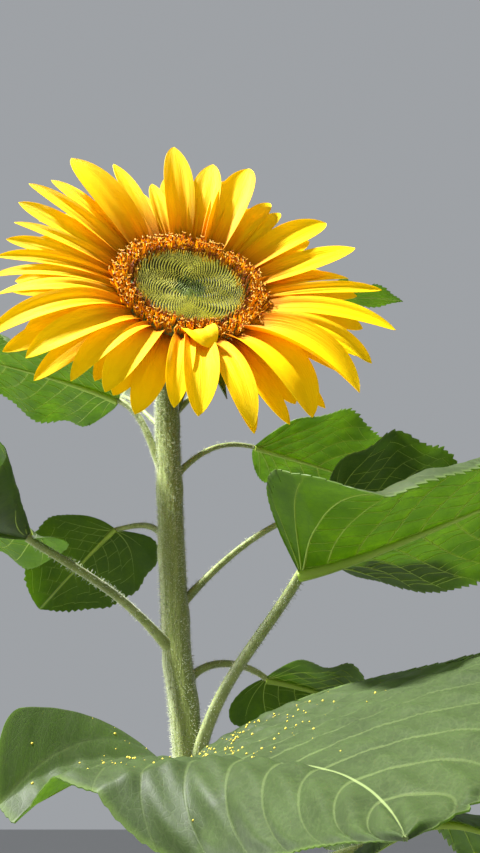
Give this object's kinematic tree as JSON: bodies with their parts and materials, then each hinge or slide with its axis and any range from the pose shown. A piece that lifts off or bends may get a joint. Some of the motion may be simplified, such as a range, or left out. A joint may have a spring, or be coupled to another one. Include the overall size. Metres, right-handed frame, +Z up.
{
  "type": "sunflower plant",
  "caption": "Tall upright sunflower plant, one yellow flower head over heart-shaped leaves on long arching stalks, rooted in the ground.",
  "frame": {"origin": "middle of the flat cut under the stem, at ground level", "axes": "+Z up, the flower head looks towards -Y and a little up, +X to the right as seen from the front"},
  "size_m": [0.6157, 0.6438, 1.6673],
  "materials": {
    "stem": "matt green fibrous stem with fine hairs",
    "stalk": "matt green leaf stalk with fine hairs",
    "leaf": "soft sheen, rough leaf with raised veins, lets light through",
    "bracts": "matt green scales",
    "disc": "matt, closely set buds",
    "florets": "matt open florets with dark anthers",
    "rays": "silky, lets light through"
  },
  "bodies": {
    "root": {"stem": "stem", "head_cup": "bracts", "head_disc": "disc", "floret_ring": "florets", "ray_florets": "rays", "leaf_01_stalk": "stalk", "leaf_01_blade": "leaf", "leaf_02_stalk": "stalk", "leaf_02_blade": "leaf", "leaf_03_stalk": "stalk", "leaf_03_blade": "leaf", "leaf_04_stalk": "stalk", "leaf_04_blade": "leaf", "leaf_05_stalk": "stalk", "leaf_05_blade": "leaf", "leaf_06_stalk": "stalk", "leaf_06_blade": "leaf", "leaf_07_stalk": "stalk", "leaf_07_blade": "leaf", "leaf_08_stalk": "stalk", "leaf_08_blade": "leaf", "leaf_09_stalk": "stalk", "leaf_09_blade": "leaf", "leaf_10_stalk": "stalk", "leaf_10_blade": "leaf", "leaf_11_stalk": "stalk", "leaf_11_blade": "leaf", "leaf_12_stalk": "stalk", "leaf_12_blade": "leaf", "leaf_13_stalk": "stalk", "leaf_13_blade": "leaf", "leaf_14_stalk": "stalk", "leaf_14_blade": "leaf", "leaf_15_stalk": "stalk", "leaf_15_blade": "leaf", "leaf_16_stalk": "stalk", "leaf_16_blade": "leaf", "leaf_17_stalk": "stalk", "leaf_17_blade": "leaf", "leaf_18_stalk": "stalk", "leaf_18_blade": "leaf", "leaf_19_stalk": "stalk", "leaf_19_blade": "leaf", "leaf_20_stalk": "stalk", "leaf_20_blade": "leaf"}
  },
  "joints": []
}
